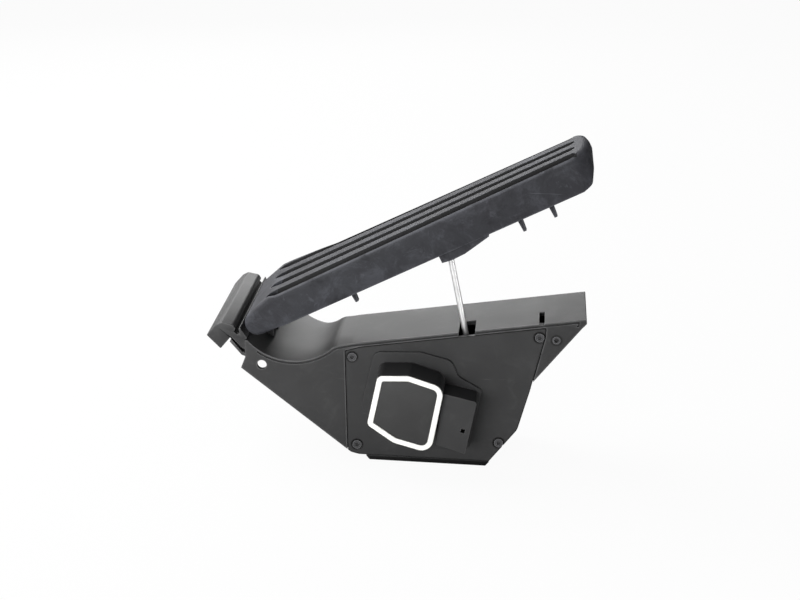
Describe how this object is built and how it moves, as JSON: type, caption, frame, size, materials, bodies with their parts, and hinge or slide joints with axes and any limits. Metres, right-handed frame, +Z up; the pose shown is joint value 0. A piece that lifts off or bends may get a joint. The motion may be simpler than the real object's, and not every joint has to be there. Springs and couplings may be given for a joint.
{
  "type": "accelerator pedal",
  "caption": "Floor-hinged accelerator pedal: ribbed treadle on a housing with a heel bar, a steel pushrod and a side position sensor with a plug socket.",
  "frame": {"origin": "middle of the foot plate's underside, on the middle plane of the housing", "axes": "+X from heel to toe, +Y away from the cover and sensor side, +Z up, out of the car's floor"},
  "size_m": [0.2777, 0.141, 0.2445],
  "materials": {
    "housing_plastic": "fine-grained moulded, satin",
    "foot_plastic": "moulded, near black",
    "cover_plastic": "fine-grained moulded, satin",
    "gasket_rubber": "matt",
    "dark_steel": "blackened screw",
    "cap_plastic": "smooth moulded",
    "seal_white": "silicone bead, satin",
    "board_green": "lacquered laminate",
    "chip_black": "moulded",
    "contact_brass": "tinned",
    "bush_bronze": "sintered",
    "bright_steel": "ground",
    "spring_steel": "drawn wire",
    "magnet_metal": "sintered",
    "dark_plastic": "moulded",
    "pale_plastic": "moulded, low friction",
    "pad_plastic": "moulded, scuffed",
    "rod_steel": "satin"
  },
  "bodies": {
    "housing_body": {"housing": "housing_plastic", "foot_plate": "foot_plastic", "foot_screws": "bright_steel", "cover": "cover_plastic", "cover_gasket": "gasket_rubber", "cover_screws": "dark_steel", "sensor_cap": "cap_plastic", "sensor_seal": "seal_white", "sensor_board": "board_green", "sensor_chips": "chip_black", "contact_pins": "contact_brass", "near_bush": "bush_bronze", "far_bush": "bush_bronze", "outer_spring": "spring_steel", "inner_spring": "spring_steel", "hinge_pin": "bright_steel", "hinge_clips": "spring_steel", "heel_bar": "housing_plastic", "heel_strip": "housing_plastic", "toe_pin": "dark_steel"},
    "treadle_body": {"treadle": "pad_plastic", "hinge_bushes": "pale_plastic", "rod_socket": "dark_plastic"},
    "rod_body": {"pushrod": "rod_steel"},
    "lever_body": {"lever": "dark_plastic", "sensor_shaft": "bright_steel", "shaft_clip": "spring_steel", "rotor": "dark_plastic", "magnet": "magnet_metal"},
    "cup_body": {"spring_cup": "pale_plastic"}
  },
  "joints": [
    {"name": "pedal_hinge", "type": "hinge", "parent": "housing_body", "child": "treadle_body", "pos_m": [-0.1277, 0.0055, 0.1053], "axis": [0, 1, 0], "range_deg": [0, 17], "stiffness_Nm_per_rad": 1, "springref_deg": -51.57},
    {"name": "rod_top", "type": "hinge", "parent": "treadle_body", "child": "rod_body", "pos_m": [0.01107, -0.018, 0.16423], "axis": [0, 1, 0], "range_deg": [-12, 0.5]},
    {"name": "lever_turn", "type": "hinge", "parent": "housing_body", "child": "lever_body", "pos_m": [-0.02, -0.018, 0.05], "axis": [0, 1, 0], "range_deg": [0, 48], "deforming": ["outer_spring", "inner_spring"]},
    {"name": "cup_rock", "type": "hinge", "parent": "lever_body", "child": "cup_body", "pos_m": [-0.00168, -0.0034, 0.05801], "axis": [0, 1, 0], "range_deg": [-48, 0]}
  ],
  "couplings": [
    {"joint": "rod_top", "follows": "pedal_hinge", "ratio": -0.68},
    {"joint": "lever_turn", "follows": "pedal_hinge", "ratio": 2.778},
    {"joint": "cup_rock", "follows": "pedal_hinge", "ratio": -2.778}
  ]
}
